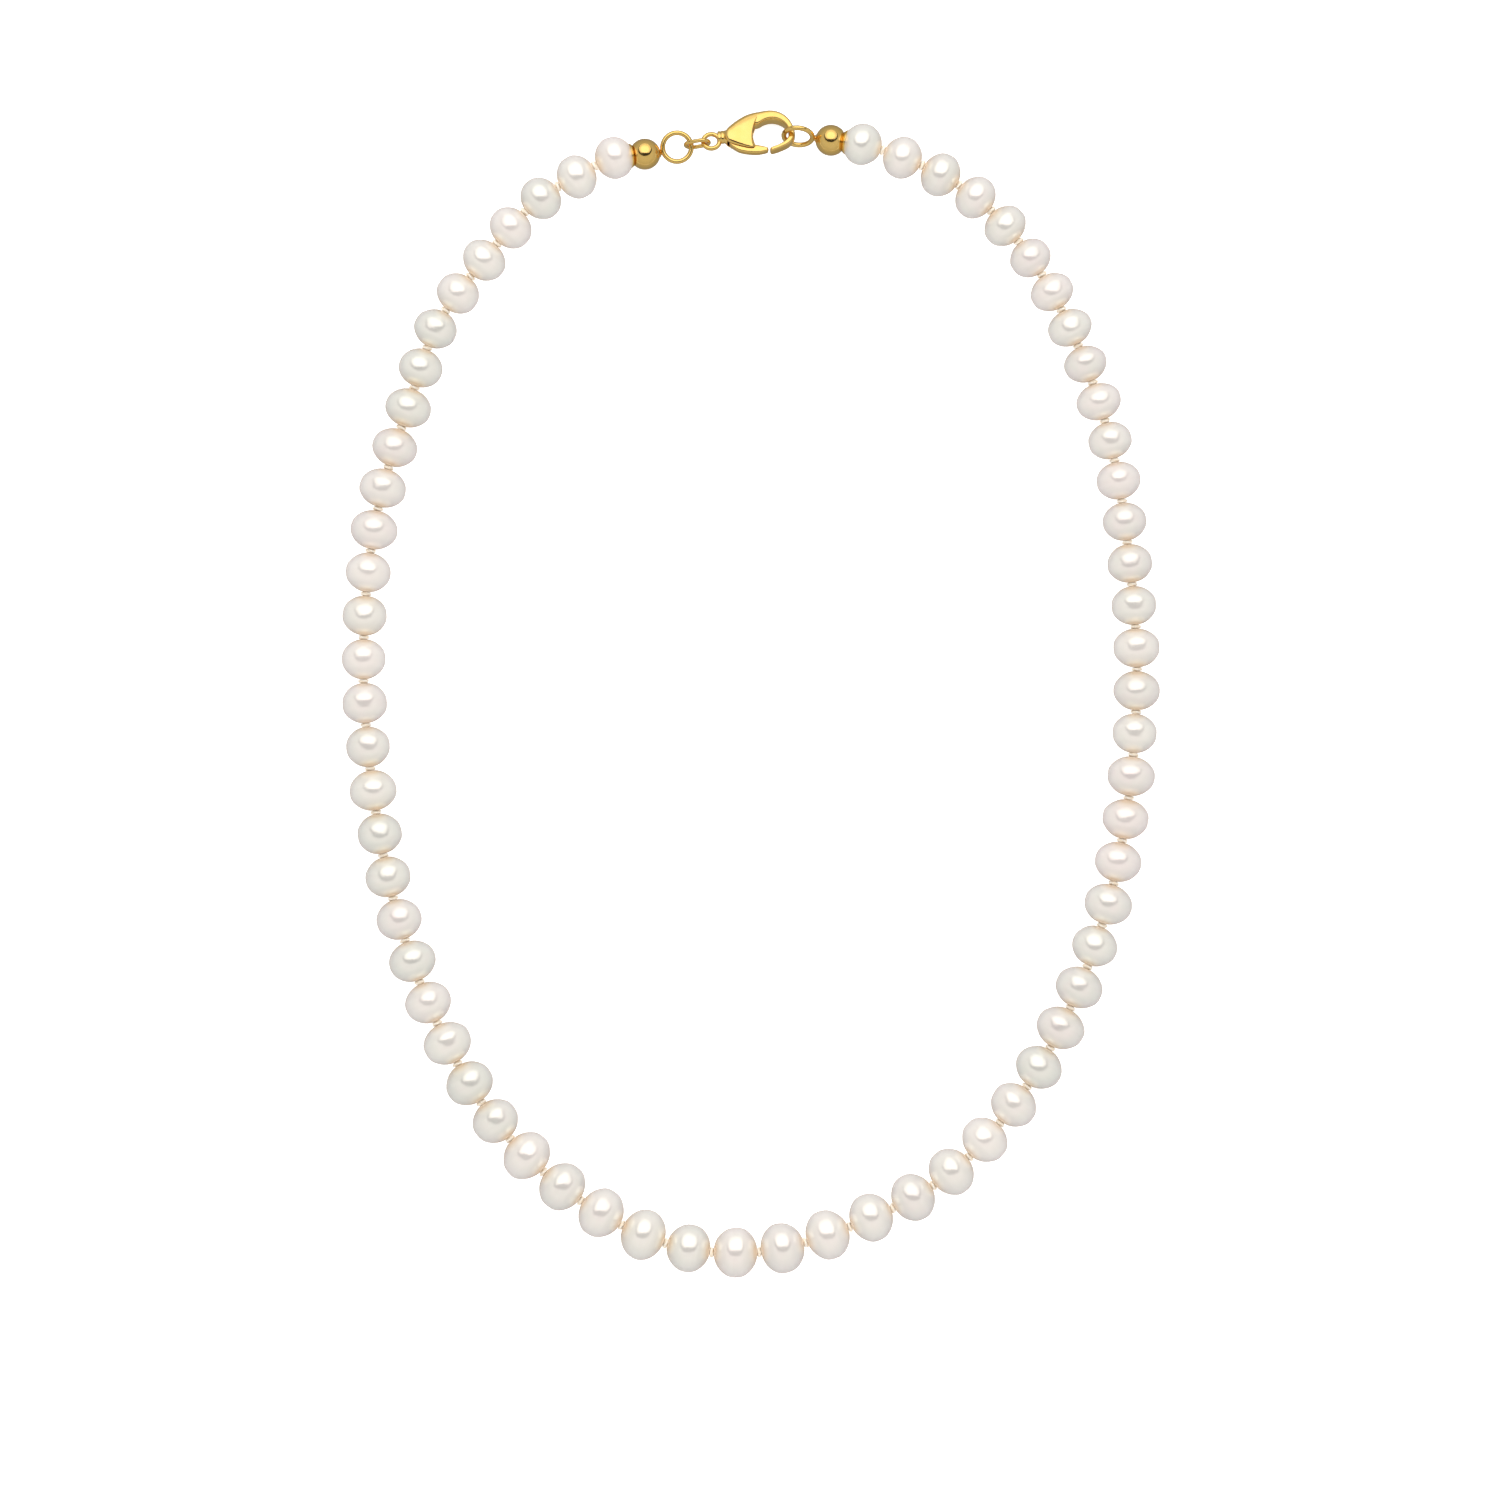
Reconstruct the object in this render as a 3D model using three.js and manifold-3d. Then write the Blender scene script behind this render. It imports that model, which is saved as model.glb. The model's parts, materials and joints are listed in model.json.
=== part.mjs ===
// A knotted strand of freshwater pearls with a gold lobster clasp, laid out flat.
// Millimetres, +Z up, +Y towards the clasp. The pearls rest on z = 0.
import * as THREE from "three";
import { mergeVertices } from "three/addons/utils/BufferGeometryUtils.js";
import Module from "manifold-3d";

const wasm = await Module();
wasm.setup();

// ---- driving dimensions --------------------------------------------------------------------

// Where the silk runs, seen from above: from the first pearl left of the clasp, down the left
// side, round the bottom and up the right side to the last pearl.
const silkRoute = [
  [-20, 79], [-31, 72.9], [-39.3, 63.8], [-46.3, 54], [-50.5, 42], [-54.3, 30], [-56.5, 17],
  [-57.1, 2], [-55.8, -14], [-52.5, -31.5], [-46.3, -48.8], [-37.3, -63.9], [-25, -75.2],
  [-11.5, -81.8], [2, -82.8], [14.6, -79.2], [28.5, -72.1], [39.2, -61], [47.4, -46.8],
  [53.3, -30.5], [56.4, -13], [57.3, 4], [56.1, 20.5], [53.5, 36.5], [48.9, 50.5], [42.5, 62.8],
  [35, 71.8], [26.5, 77.4], [16.7, 81],
];
const pearlCount = 65;
const knotGap = 0.5; // room for the knot between two pearls
const knotRadius = 0.5;
const threadRadius = 0.3;
const touchGap = 0.3; // left between pieces that touch

// Grading of the strand: [fraction of the way along, spacing of the pearls, width across].
const grading = [
  [0, 6.25, 6.3], [0.13, 6.2, 6.8], [0.22, 6.5, 6.7], [0.32, 6.5, 7.0], [0.42, 7.0, 7.3],
  [0.5, 7.0, 7.4], [0.57, 6.8, 7.2], [0.68, 6.45, 6.9], [0.8, 6.25, 6.7], [0.88, 5.85, 6.6],
  [1, 6.3, 6.3],
];
const widthVariation = 0.12; // the pearls are not perfectly matched

const ballRadius = 2.3;
const ballWall = 0.7;
const ballCut = 1.2; // the ball is open towards the pearl, this far from its centre
const mouthRadius = 0.6;
const cupRimRadius = 1.75;
const cupBackRadius = 1.4;
const cupLip = 0.15;
const endKnotRadius = 0.85;
const leftBall = new THREE.Vector3(-15.5, 79.6, 2.35);
const rightBall = new THREE.Vector3(12.05, 81.65, 2.35);

const ringWire = 0.375; // radii of round wire and of the middle of the ring
const ringRadius = 2.125;
const solderGap = 0.12;
const leftRingDirection = new THREE.Vector3(1, 0.3, 0).normalize(); // from its ball, level
const rightRingTilt = THREE.MathUtils.degToRad(58);

const linkWire = 0.32;
const linkEndRadius = 1.05;
const linkPlay = 0.12;
const linkRoll = THREE.MathUtils.degToRad(-20); // from upright, its top outwards

// The clasp is drawn flat about its own middle, and leans on the back of its hook.
const claspMiddle = new THREE.Vector3(0, 82, 2.65);
const claspLean = THREE.MathUtils.degToRad(-24);
const claspThickness = 2.6;
const hookThickness = 2.0;
const slotWidth = 1.5;
const gateWidth = 1.2;
const eyeCentre = [-5.65, -0.6, 0];
const eyeWire = 0.37;
const eyeRadius = 1.2; // of the middle of the wire
const neckRadius = 0.7;
const neckLength = 1.3;
const neckMiddle = [-3.95, 0.1, 0];
const gatePivot = [-2.5, -0.85];
const rivetRadius = 0.4;
const rivetClearance = 0.08;
const rivetLength = 2.1; // from the back, so that the front cheek is left unmarked
const springStrip = 0.2;

// The whole necklace is shifted so that its origin is below the middle of its box.
const originShift = new THREE.Vector3(-0.21, 0.12, 0);

// ---- materials -----------------------------------------------------------------------------

const nacre = () => new THREE.MeshStandardMaterial({ color: 0xebe5dc, roughness: 0.25, metalness: 0 });
const silk = () => new THREE.MeshStandardMaterial({ color: 0xf1e6cf, roughness: 0.9, metalness: 0 });
const gold = () => new THREE.MeshStandardMaterial({ color: 0xd4a83a, roughness: 0.2, metalness: 1 });
const springSteel = () => new THREE.MeshStandardMaterial({ color: 0xb9bcc0, roughness: 0.35, metalness: 1 });

const necklace = new THREE.Group();
necklace.position.copy(originShift);
const clasp = new THREE.Group();
clasp.position.copy(claspMiddle);
clasp.rotation.x = claspLean;
clasp.updateMatrix();
necklace.add(clasp);

function addPart(name, geometry, material, group = necklace) {
  const mesh = new THREE.Mesh(geometry, material);
  mesh.name = name;
  group.add(mesh);
  return mesh;
}

// ---- solids --------------------------------------------------------------------------------

// A closed three.js geometry as a manifold solid, with its shared vertices merged.
function solidOf(geometry) {
  const bare = geometry.clone();
  bare.deleteAttribute("normal");
  bare.deleteAttribute("uv");
  const merged = mergeVertices(bare, 1e-4);
  return new wasm.Manifold(new wasm.Mesh({
    numProp: 3,
    vertProperties: new Float32Array(merged.attributes.position.array),
    triVerts: new Uint32Array(merged.index.array),
  }));
}

function geometryOf(solid) {
  const mesh = solid.getMesh();
  const geometry = new THREE.BufferGeometry();
  geometry.setAttribute("position", new THREE.BufferAttribute(mesh.vertProperties, 3));
  geometry.setIndex(new THREE.BufferAttribute(mesh.triVerts, 1));
  return geometry;
}

// A smooth closed outline through the points.
function outline(points) {
  const curve = new THREE.CatmullRomCurve3(points.map(([x, y]) => new THREE.Vector3(x, y, 0)), true);
  return new THREE.Shape(curve.getPoints(points.length * 2).slice(0, -1).map((p) => new THREE.Vector2(p.x, p.y)));
}

// A flat piece with its middle at height zero, and its edges rounded by the bevel.
function plate(shape, thickness, bevel) {
  const geometry = new THREE.ExtrudeGeometry(shape, {
    depth: thickness - 2 * bevel,
    bevelEnabled: bevel > 0,
    bevelThickness: bevel,
    bevelSize: bevel,
    bevelOffset: -bevel,
    bevelSegments: 2,
    curveSegments: 8,
  });
  return geometry.translate(0, 0, bevel - thickness / 2);
}

function rod(radius, length, sides = 16) {
  return new THREE.CylinderGeometry(radius, radius, length, sides);
}

// A round wire bent into a closed loop: a circle of points round each point of the middle line,
// which lies in the plane of the unit vectors across and along.
function wireLoop(centre, across, along, middleLine, wireRadius, sides = 8) {
  const out = new THREE.Vector3().crossVectors(across, along);
  const positions = [];
  const faces = [];
  const count = middleLine.length;
  middleLine.forEach(([u, v], i) => {
    const [u0, v0] = middleLine[(i + count - 1) % count];
    const [u1, v1] = middleLine[(i + 1) % count];
    const size = Math.hypot(u1 - u0, v1 - v0);
    const side = [(v1 - v0) / size, -(u1 - u0) / size];
    for (let k = 0; k < sides; k += 1) {
      const angle = (2 * Math.PI * k) / sides;
      const inPlane = wireRadius * Math.cos(angle);
      const point = centre.clone()
        .addScaledVector(across, u + side[0] * inPlane)
        .addScaledVector(along, v + side[1] * inPlane)
        .addScaledVector(out, wireRadius * Math.sin(angle));
      positions.push(point.x, point.y, point.z);
      const a = i * sides + k;
      const b = i * sides + ((k + 1) % sides);
      const c = ((i + 1) % count) * sides + k;
      const d = ((i + 1) % count) * sides + ((k + 1) % sides);
      faces.push(a, c, b, b, c, d);
    }
  });
  const geometry = new THREE.BufferGeometry();
  geometry.setAttribute("position", new THREE.Float32BufferAttribute(positions, 3));
  geometry.setIndex(faces);
  return geometry;
}

const circle = (radius, count) => Array.from({ length: count }, (_, i) => {
  const angle = (2 * Math.PI * i) / count;
  return [radius * Math.cos(angle), radius * Math.sin(angle)];
});

// ---- the pearls ----------------------------------------------------------------------------

// Reads a column of the grading at a fraction of the way along the strand.
function graded(column, fraction) {
  const next = grading.findIndex(([at]) => at >= fraction);
  if (next <= 0) return grading[0][column];
  const [from, to] = [grading[next - 1], grading[next]];
  return THREE.MathUtils.mapLinear(fraction, from[0], to[0], from[column], to[column]);
}

// Each pearl: where its centre lies, and its half sizes along and across the silk.
function strungPearls() {
  const points = silkRoute.map(([x, y]) => new THREE.Vector3(x, y, 0));
  const curve = new THREE.CatmullRomCurve3(points);
  curve.arcLengthDivisions = 2000;
  const gaps = pearlCount - 1;
  const spacings = Array.from({ length: gaps }, (_, i) => graded(1, (i + 0.5) / gaps));
  const stretch = curve.getLength() / spacings.reduce((sum, spacing) => sum + spacing, 0);
  let distance = 0;
  return Array.from({ length: pearlCount }, (_, i) => {
    if (i > 0) distance += spacings[i - 1] * stretch;
    const before = spacings[Math.max(i - 1, 0)];
    const after = spacings[Math.min(i, gaps - 1)];
    const halfLength = (Math.min(before, after) * stretch - knotGap) / 2;
    const halfWidth = graded(2, i / gaps) / 2 + widthVariation * Math.sin(2.4 * i * i);
    const centre = curve.getPointAt(Math.min(distance / curve.getLength(), 1));
    return { centre: centre.setZ(halfWidth), halfLength, halfWidth };
  });
}

const pearls = strungPearls();

// The outline of a pearl from end to end, as [radius, distance along the silk]. It stops at the
// given radius on each side, where the silk leaves it, or on the axis.
function pearlProfile(pearl, at, startRadius, endRadius) {
  const steps = 5;
  const first = Math.acos(startRadius / pearl.halfWidth);
  const last = Math.acos(endRadius / pearl.halfWidth);
  return Array.from({ length: steps + 1 }, (_, k) => {
    const angle = THREE.MathUtils.lerp(-first, last, k / steps);
    return [pearl.halfWidth * Math.cos(angle), at + pearl.halfLength * Math.sin(angle)];
  });
}

// A solid turned about the line from start towards end, from [radius, distance] points.
function addTurned(name, profile, start, end, material, sides = 10) {
  const geometry = new THREE.LatheGeometry(profile.map(([r, t]) => new THREE.Vector2(r, t)), sides);
  const mesh = addPart(name, geometry, material);
  mesh.quaternion.setFromUnitVectors(new THREE.Vector3(0, 1, 0), end.clone().sub(start).normalize());
  mesh.position.copy(start);
}

// Neighbouring pearls and the knot between them as one turned solid. With a pearl onward, the
// silk goes on as the knot that the next solid hangs on.
function addPearls(numbers, onward) {
  const group = numbers.map((number) => pearls[number - 1]);
  const [first, last] = [group[0], group[group.length - 1]];
  const profile = [];
  group.forEach((pearl, i) => {
    const at = pearl.centre.distanceTo(first.centre);
    const knotFollows = pearl !== last || onward;
    profile.push(...pearlProfile(pearl, at, i > 0 ? threadRadius : 0, knotFollows ? threadRadius : 0));
    const surface = at + pearl.halfLength;
    if (pearl !== last) profile.push([knotRadius, surface + knotGap / 2]);
    else if (onward) profile.push([threadRadius, surface + knotGap - touchGap], [0, surface + knotGap - touchGap]);
  });
  const label = [...numbers].sort((a, b) => a - b).map((number) => String(number).padStart(2, "0")).join("_");
  const aim = group.length > 1 ? last.centre : pearls[onward - 1].centre;
  addTurned(`${group.length > 1 ? "pearls" : "pearl"}_${label}`, profile, first.centre, aim, nacre());
}

// Pearls are numbered from 1, from the left of the clasp all the way round. Each knot belongs to
// the pearls on its clasp side, so the lowest two carry none.
const lowest = 33;
addPearls([1], 2);
for (let n = 2; n < lowest - 1; n += 2) addPearls([n, n + 1], n + 2);
addPearls([lowest - 1], lowest);
addPearls([lowest, lowest + 1]);
for (let n = lowest + 3; n < pearlCount; n += 2) addPearls([n, n - 1], n - 2);
addPearls([pearlCount], pearlCount - 1);

// ---- the end balls -------------------------------------------------------------------------

// A hollow ball with its mouth towards the pearl, the cup that the pearl nests in, and the knot
// that ends the silk inside the ball.
function addEnd(side, ball, pearl) {
  const away = ball.clone().multiplyScalar(2).sub(pearl.centre);
  const inner = ballRadius - ballWall;
  const arc = (radius, from, to, steps) => Array.from({ length: steps + 1 }, (_, k) => {
    const angle = THREE.MathUtils.lerp(from, to, k / steps);
    return [radius * Math.cos(angle), radius * Math.sin(angle)];
  });
  const outerMouth = Math.asin(-ballCut / ballRadius);
  const innerMouth = Math.asin(-(ballCut - ballWall) / inner);
  const shell = [
    [mouthRadius, -ballCut],
    ...arc(ballRadius, outerMouth, Math.PI / 2, 7),
    ...arc(inner, Math.PI / 2, innerMouth, 6),
    [mouthRadius, -(ballCut - ballWall)],
    [mouthRadius, -ballCut],
  ];
  addTurned(`${side}_end_ball`, shell, ball, away, gold(), 16);

  const nest = pearl.centre.distanceTo(ball) - pearl.halfLength - touchGap;
  const rimSag = pearl.halfLength * (1 - Math.sqrt(1 - (cupRimRadius / pearl.halfWidth) ** 2));
  const cup = [
    [mouthRadius, -ballCut - solderGap],
    [mouthRadius, -nest],
    [cupRimRadius * 0.6, -nest - rimSag * 0.3],
    [cupRimRadius - cupLip, -nest - rimSag * 0.8],
    [cupRimRadius, -nest - rimSag],
    [cupRimRadius - cupLip, -nest],
    [cupBackRadius, -ballCut - solderGap],
    [mouthRadius, -ballCut - solderGap],
  ];
  addTurned(`${side}_end_cup`, cup, ball, pearl.centre.clone().lerp(ball, 2), gold(), 16);

  const silkEnd = [
    [0, -nest],
    [threadRadius, -nest],
    [threadRadius, -endKnotRadius],
    [endKnotRadius * 0.45, -endKnotRadius * 0.6],
    [endKnotRadius, 0.1],
    [endKnotRadius * 0.7, endKnotRadius * 0.7],
    [0, endKnotRadius],
  ];
  addTurned(`${side}_silk_end`, silkEnd, ball, away, silk(), 8);
}

addEnd("left", leftBall, pearls[0]);
addEnd("right", rightBall, pearls[pearlCount - 1]);

// ---- rings and link ------------------------------------------------------------------------

const up = new THREE.Vector3(0, 0, 1);
const poleOf = (ball, pearl, gap) => ball.clone().add(
  ball.clone().sub(pearl.centre).normalize().multiplyScalar(ballRadius + gap),
);
const leftPole = poleOf(leftBall, pearls[0], solderGap);
const rightPole = poleOf(rightBall, pearls[pearlCount - 1], solderGap);

// The left ring lies level, soldered to its ball.
const leftRingCentre = leftPole.clone().setZ(leftBall.z)
  .addScaledVector(leftRingDirection, ringRadius + ringWire);
addPart("left_end_ring", wireLoop(leftRingCentre, new THREE.Vector3(1, 0, 0), new THREE.Vector3(0, 1, 0),
  circle(ringRadius, 24), ringWire), gold());

// The right ring is soldered to its ball too, hangs round the hook and leans over.
const hookBar = new THREE.Vector3(6.2, 82.3, 2.6);
const rightAlong = hookBar.clone().sub(rightPole).setZ(0).normalize();
const rightLevel = new THREE.Vector3().crossVectors(up, rightAlong).normalize();
const rightLean = rightLevel.clone().multiplyScalar(-Math.cos(rightRingTilt))
  .addScaledVector(up, Math.sin(rightRingTilt));
const rightRingCentre = rightPole.clone().setZ(hookBar.z)
  .addScaledVector(rightAlong, ringRadius + ringWire);
addPart("right_end_ring", wireLoop(rightRingCentre, rightAlong, rightLean, circle(ringRadius, 24), ringWire),
  gold());

// The link stands nearly on edge between the left ring and the eye of the clasp.
const eye = new THREE.Vector3(...eyeCentre).applyMatrix4(clasp.matrix);
const toEye = eye.clone().sub(leftRingCentre).setZ(0).normalize();
const ringSide = leftRingCentre.clone().addScaledVector(toEye, ringRadius);
const eyeSide = eye.clone().addScaledVector(toEye, -eyeRadius);
const linkAlong = eyeSide.clone().sub(ringSide).normalize();
const linkStart = ringSide.clone().addScaledVector(linkAlong, -(ringWire + linkWire + linkPlay));
const linkEnd = eyeSide.clone().addScaledVector(linkAlong, eyeWire + linkWire + linkPlay);
const linkAcross = new THREE.Vector3().crossVectors(linkAlong, new THREE.Vector3().crossVectors(up, linkAlong))
  .normalize().applyAxisAngle(linkAlong, linkRoll);
const linkHalf = linkStart.distanceTo(linkEnd) / 2 - linkEndRadius;
const linkMiddle = circle(linkEndRadius, 20).map(([u, v]) => [u + Math.sign(Math.round(u * 100)) * linkHalf, v]);
addPart("connector_link", wireLoop(linkStart.clone().lerp(linkEnd, 0.5), linkAlong, linkAcross, linkMiddle,
  linkWire), gold());

// ---- the lobster clasp ---------------------------------------------------------------------

// The cheeks, wedge shaped from the neck to the mouth of the hook.
const cheeks = new THREE.Shape([
  [-3.6, -0.9], [-3.5, 1.1], [-2.2, 2.2], [-0.6, 3.45], [0.7, 3.85], [0.35, 2.2], [0.45, 0],
  [0.8, -1.95], [-0.1, -2.2], [-1.5, -1.6],
].map(([x, y]) => new THREE.Vector2(x, y)));

// The hook springs from the top of the cheeks, goes over and round, and ends facing the gate.
const hook = outline([
  [-0.2, 3.3], [0.7, 3.85], [2.2, 4.2], [3.6, 4.2], [4.8, 3.75], [5.8, 2.9], [6.4, 1.8],
  [6.72, 0.7], [6.62, -0.3], [6.1, -1.15], [5.2, -1.75], [4.2, -2.2], [3.2, -2.5], [3, -2.2],
  [3.15, -1.85], [4, -1.55], [4.9, -1.05], [5.55, -0.4], [5.78, 0.4], [5.55, 1.3], [4.9, 2.1],
  [3.9, 2.6], [2.8, 2.6], [1.7, 2.1], [0.9, 1.4], [0.3, 1.5], [-0.1, 2.4],
]);

// The cut between the cheeks: the gate swings in it and the spring sits in it.
const slot = new THREE.Shape([
  [-3.2, -4], [-3.2, 0.1], [-0.3, 2.5], [1.1, 2.3], [1.1, 0.6], [2.7, 0.9], [2.92, -4],
].map(([x, y]) => new THREE.Vector2(x, y)));

const eyeRing = wireLoop(new THREE.Vector3(...eyeCentre), new THREE.Vector3(1, 0, 0),
  new THREE.Vector3(0, 1, 0), circle(eyeRadius, 20), eyeWire);

const neck = rod(neckRadius, neckLength, 12).rotateZ(Math.PI / 2).translate(...neckMiddle);
const claspBack = -claspThickness / 2;
const rivetHole = rod(rivetRadius + rivetClearance, 2 * rivetLength + 0.2, 12).rotateX(Math.PI / 2)
  .translate(...gatePivot, claspBack);

const claspSolid = solidOf(plate(cheeks, claspThickness, 0.3))
  .add(solidOf(plate(hook, hookThickness, 0.2)))
  .add(solidOf(eyeRing))
  .add(solidOf(neck))
  .subtract(solidOf(plate(slot, slotWidth, 0)))
  .subtract(solidOf(rivetHole));
addPart("clasp_body", geometryOf(claspSolid), gold(), clasp);

// The gate: pivoted near the neck, with a bulge below for the fingernail.
const gate = outline([
  [-3.05, -0.7], [-2.95, -1.3], [-2.3, -1.9], [-1.5, -2.4], [-0.5, -2.7], [0.8, -2.7],
  [2, -2.65], [2.65, -2.4], [2.8, -1.95], [2.5, -1.6], [1.5, -1.45], [0.2, -1.2], [-1.2, -0.65],
  [-2.1, -0.2], [-2.8, -0.2],
]);
addPart("gate_lever", geometryOf(
  solidOf(plate(gate, gateWidth, 0.15)).subtract(solidOf(rivetHole)),
), gold(), clasp);

addPart("gate_rivet", rod(rivetRadius, rivetLength, 12).rotateX(Math.PI / 2)
  .translate(...gatePivot, claspBack + rivetLength / 2), gold(), clasp);

// A leaf spring, bent back on itself between the spine of the body and the gate.
const leafMiddle = [
  [0.1, 2.2], [-0.7, 1.8], [-1.6, 1.05], [-2.3, 0.4], [-2.1, 0.1], [-1.2, -0.2], [-0.3, -0.6],
];
const leafSide = (sign) => leafMiddle.map(([x, y], i) => {
  const [x0, y0] = leafMiddle[Math.max(i - 1, 0)];
  const [x1, y1] = leafMiddle[Math.min(i + 1, leafMiddle.length - 1)];
  const size = Math.hypot(x1 - x0, y1 - y0) * (2 / springStrip) * sign;
  return new THREE.Vector2(x - (y1 - y0) / size, y + (x1 - x0) / size);
});
addPart("gate_spring", plate(new THREE.Shape([...leafSide(1), ...leafSide(-1).reverse()]), 1, 0),
  springSteel(), clasp);

export default necklace;
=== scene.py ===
"""A knotted strand of 65 freshwater pearls with a gold lobster clasp, laid out flat on a table.

Shapes are worked out in millimetres, with +Z up and +Y towards the clasp, and become metres
when their mesh is made.
"""

import json

import bpy
import numpy as np
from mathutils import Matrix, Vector

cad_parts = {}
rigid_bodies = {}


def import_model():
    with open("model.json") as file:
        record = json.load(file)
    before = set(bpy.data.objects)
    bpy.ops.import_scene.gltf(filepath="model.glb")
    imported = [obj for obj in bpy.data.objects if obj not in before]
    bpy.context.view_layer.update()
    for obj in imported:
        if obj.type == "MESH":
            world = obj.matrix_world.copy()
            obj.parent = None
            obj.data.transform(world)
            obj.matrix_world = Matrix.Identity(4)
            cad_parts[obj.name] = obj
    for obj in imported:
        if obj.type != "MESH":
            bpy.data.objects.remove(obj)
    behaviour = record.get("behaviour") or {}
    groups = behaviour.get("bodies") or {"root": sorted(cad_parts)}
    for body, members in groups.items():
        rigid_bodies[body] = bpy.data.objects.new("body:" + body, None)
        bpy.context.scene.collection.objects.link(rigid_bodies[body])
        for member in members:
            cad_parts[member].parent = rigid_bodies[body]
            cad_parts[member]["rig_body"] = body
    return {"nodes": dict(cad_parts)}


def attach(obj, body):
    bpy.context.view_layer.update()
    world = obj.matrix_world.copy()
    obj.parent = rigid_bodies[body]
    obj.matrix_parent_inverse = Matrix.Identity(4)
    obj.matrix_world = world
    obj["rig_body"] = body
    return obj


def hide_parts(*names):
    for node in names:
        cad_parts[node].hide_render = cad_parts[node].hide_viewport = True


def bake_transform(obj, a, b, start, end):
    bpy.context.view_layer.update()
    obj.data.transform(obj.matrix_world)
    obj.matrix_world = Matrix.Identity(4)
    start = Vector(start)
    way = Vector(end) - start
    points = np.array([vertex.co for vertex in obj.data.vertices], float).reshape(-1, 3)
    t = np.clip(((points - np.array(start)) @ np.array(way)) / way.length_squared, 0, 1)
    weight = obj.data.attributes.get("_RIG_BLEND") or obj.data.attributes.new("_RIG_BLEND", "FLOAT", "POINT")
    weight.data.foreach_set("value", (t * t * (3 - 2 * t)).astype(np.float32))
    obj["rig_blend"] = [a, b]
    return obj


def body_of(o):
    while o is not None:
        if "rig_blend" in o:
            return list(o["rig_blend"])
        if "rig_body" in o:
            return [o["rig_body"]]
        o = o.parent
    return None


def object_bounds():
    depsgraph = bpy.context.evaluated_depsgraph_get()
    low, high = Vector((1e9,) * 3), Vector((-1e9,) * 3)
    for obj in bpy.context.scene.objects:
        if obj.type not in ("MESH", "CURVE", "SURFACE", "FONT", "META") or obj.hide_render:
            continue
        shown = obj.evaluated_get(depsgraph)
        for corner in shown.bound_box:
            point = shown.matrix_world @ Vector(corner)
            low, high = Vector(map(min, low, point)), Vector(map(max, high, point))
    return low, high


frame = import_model()
packed_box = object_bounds()

MM = 0.001
UP = np.array([0.0, 0.0, 1.0])

# ---- driving sizes -------------------------------------------------------------------------

# Where the silk runs, seen from above: from the first pearl left of the clasp, down the left
# side, round the bottom and up the right side to the last pearl.
SILK_ROUTE = [
    (-20, 79), (-31, 72.9), (-39.3, 63.8), (-46.3, 54), (-50.5, 42), (-54.3, 30), (-56.5, 17),
    (-57.1, 2), (-55.8, -14), (-52.5, -31.5), (-46.3, -48.8), (-37.3, -63.9), (-25, -75.2),
    (-11.5, -81.8), (2, -82.8), (14.6, -79.2), (28.5, -72.1), (39.2, -61), (47.4, -46.8),
    (53.3, -30.5), (56.4, -13), (57.3, 4), (56.1, 20.5), (53.5, 36.5), (48.9, 50.5), (42.5, 62.8),
    (35, 71.8), (26.5, 77.4), (16.7, 81),
]
ORIGIN_SHIFT = np.array([-0.21, 0.12, 0.0])  # from the route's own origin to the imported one
PEARL_COUNT = 65
LOWEST = 33  # number of the lowest pearl, counted from the left of the clasp
KNOT_GAP = 0.5
WIDTH_VARIATION = 0.12
# Fraction of the way along the strand, spacing of the pearls there, and their width.
GRADING = np.array([
    (0, 6.25, 6.3), (0.13, 6.2, 6.8), (0.22, 6.5, 6.7), (0.32, 6.5, 7.0), (0.42, 7.0, 7.3),
    (0.5, 7.0, 7.4), (0.57, 6.8, 7.2), (0.68, 6.45, 6.9), (0.8, 6.25, 6.7), (0.88, 5.85, 6.6),
    (1, 6.3, 6.3),
])
HOLE_RADIUS = 0.38
HOLE_FLARE = 1.5  # the mouth of the hole is that much wider
LINED = (0.1, 0.9)  # depths in the hole between which its wall is drawn at each end
PEARL_ROWS, PEARL_COLUMNS = 46, 56
THREAD_RADIUS = 0.3
KNOT_RADIUS = 0.82
END_KNOT_RADIUS = 0.85
SILK_IN_HOLE = 0.8  # how far the drawn silk goes into each pearl
PLIES = 3

BALL_RADIUS = 2.3
BALL_WALL = 0.25
BALL_CUT = 1.75  # the ball is open towards the pearl, this far from its centre
LEFT_BALL = np.array([-15.5, 79.6, 2.35]) + ORIGIN_SHIFT
RIGHT_BALL = np.array([12.05, 81.65, 2.35]) + ORIGIN_SHIFT
SOLDER_GAP = 0.12

RING_WIRE = 0.375
RING_RADIUS = 2.125  # of the middle of the wire, as for the link and the eye
RIGHT_RING_TILT = np.radians(58)
HOOK_BAR = np.array([6.2, 82.3, 2.6]) + ORIGIN_SHIFT
LINK_WIRE = 0.32
LINK_END_RADIUS = 1.05
LINK_PLAY = 0.12
LINK_ROLL = np.radians(-20)  # from upright
DRAWN = 0.94  # thins the wire of the link and the eye, so that they keep their play

CLASP_MIDDLE = np.array([0.0, 82.0, 2.65]) + ORIGIN_SHIFT
CLASP_LEAN = np.radians(-24)
CLASP_HALF = 1.3  # half the thickness over the cheeks
SLOT_HALF = 0.75
GATE_HALF = 0.6
EYE = np.array([-5.65, -0.6, 0.0])
EYE_RADIUS = 1.2
EYE_WIRE = 0.37
GATE_PIVOT = np.array([-2.5, -0.85, 0.0])
RIVET_RADIUS = 0.4
RIVET_LENGTH = 2.1


# ---- shapes --------------------------------------------------------------------------------


def unit(vectors):
    """Vectors made one long."""
    return vectors / np.linalg.norm(vectors, axis=-1, keepdims=True)


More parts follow.
